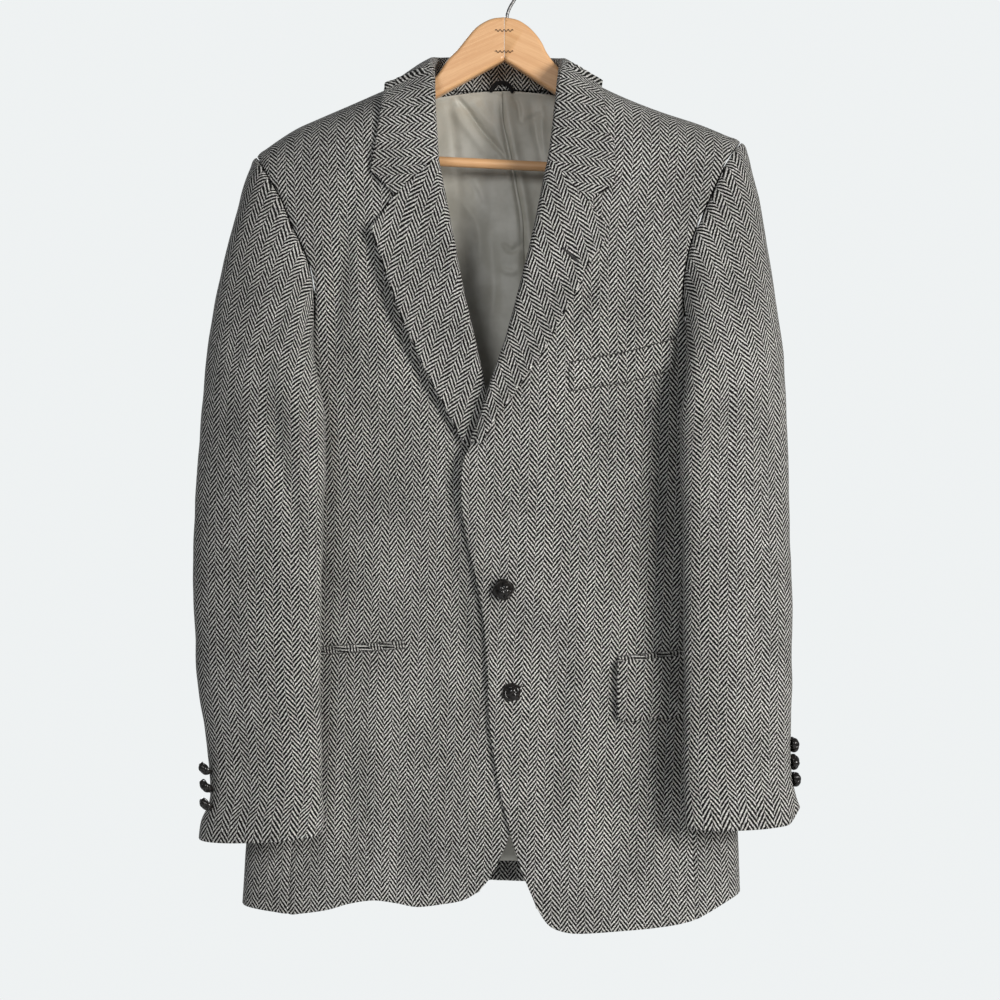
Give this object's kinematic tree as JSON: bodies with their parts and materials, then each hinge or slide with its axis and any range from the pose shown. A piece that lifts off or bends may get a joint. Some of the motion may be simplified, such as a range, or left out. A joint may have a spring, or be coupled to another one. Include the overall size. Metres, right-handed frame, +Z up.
{
  "type": "tweed hacking jacket on a wooden hanger",
  "caption": "Single-breasted herringbone tweed hacking jacket with notched lapels, jetted hip pockets and knotted leather buttons, hanging on a flat wooden hanger with a wire hook.",
  "frame": {"origin": "top of the inside of the hanger's hook, where a rail carries it", "axes": "+Z up, -Y out of the jacket's front, +X towards the wearer's left"},
  "size_m": [0.5769, 0.1385, 0.9449],
  "materials": {
    "tweed": "hairy woollen herringbone in dark grey and cream",
    "lining_satin": "smooth satin, soft sheen",
    "knotted_leather": "polished, worn",
    "loop_cord": "matt cord",
    "hanger_wood": "varnished, soft gloss",
    "hook_steel": "drawn wire, dull",
    "fastener_steel": "rusted edge"
  },
  "bodies": {
    "root": {"front_right": "tweed", "front_left": "tweed", "side_right": "tweed", "side_left": "tweed", "back_right": "tweed", "back_left": "tweed", "sleeve_top_right": "tweed", "sleeve_top_left": "tweed", "sleeve_forearm_right": "tweed", "sleeve_forearm_left": "tweed", "sleeve_under_right": "tweed", "sleeve_under_left": "tweed", "lapel_right": "tweed", "lapel_left": "tweed", "collar": "tweed", "breast_welt": "tweed", "hip_jet_upper_right": "tweed", "hip_jet_lower_right": "tweed", "hip_jet_upper_left": "tweed", "hip_jet_lower_left": "tweed", "hip_flap_left": "tweed", "back_hem_facing": "tweed", "front_button_upper": "knotted_leather", "front_button_lower": "knotted_leather", "cuff_button_right_1": "knotted_leather", "cuff_button_right_2": "knotted_leather", "cuff_button_right_3": "knotted_leather", "cuff_button_left_1": "knotted_leather", "cuff_button_left_2": "knotted_leather", "cuff_button_left_3": "knotted_leather", "back_lining": "lining_satin", "hanger_loop": "loop_cord", "hanger_arm_right": "hanger_wood", "hanger_arm_left": "hanger_wood", "hanger_bar": "hanger_wood", "hanger_hook": "hook_steel", "hanger_fastener_upper": "fastener_steel", "hanger_fastener_lower": "fastener_steel"}
  },
  "joints": []
}
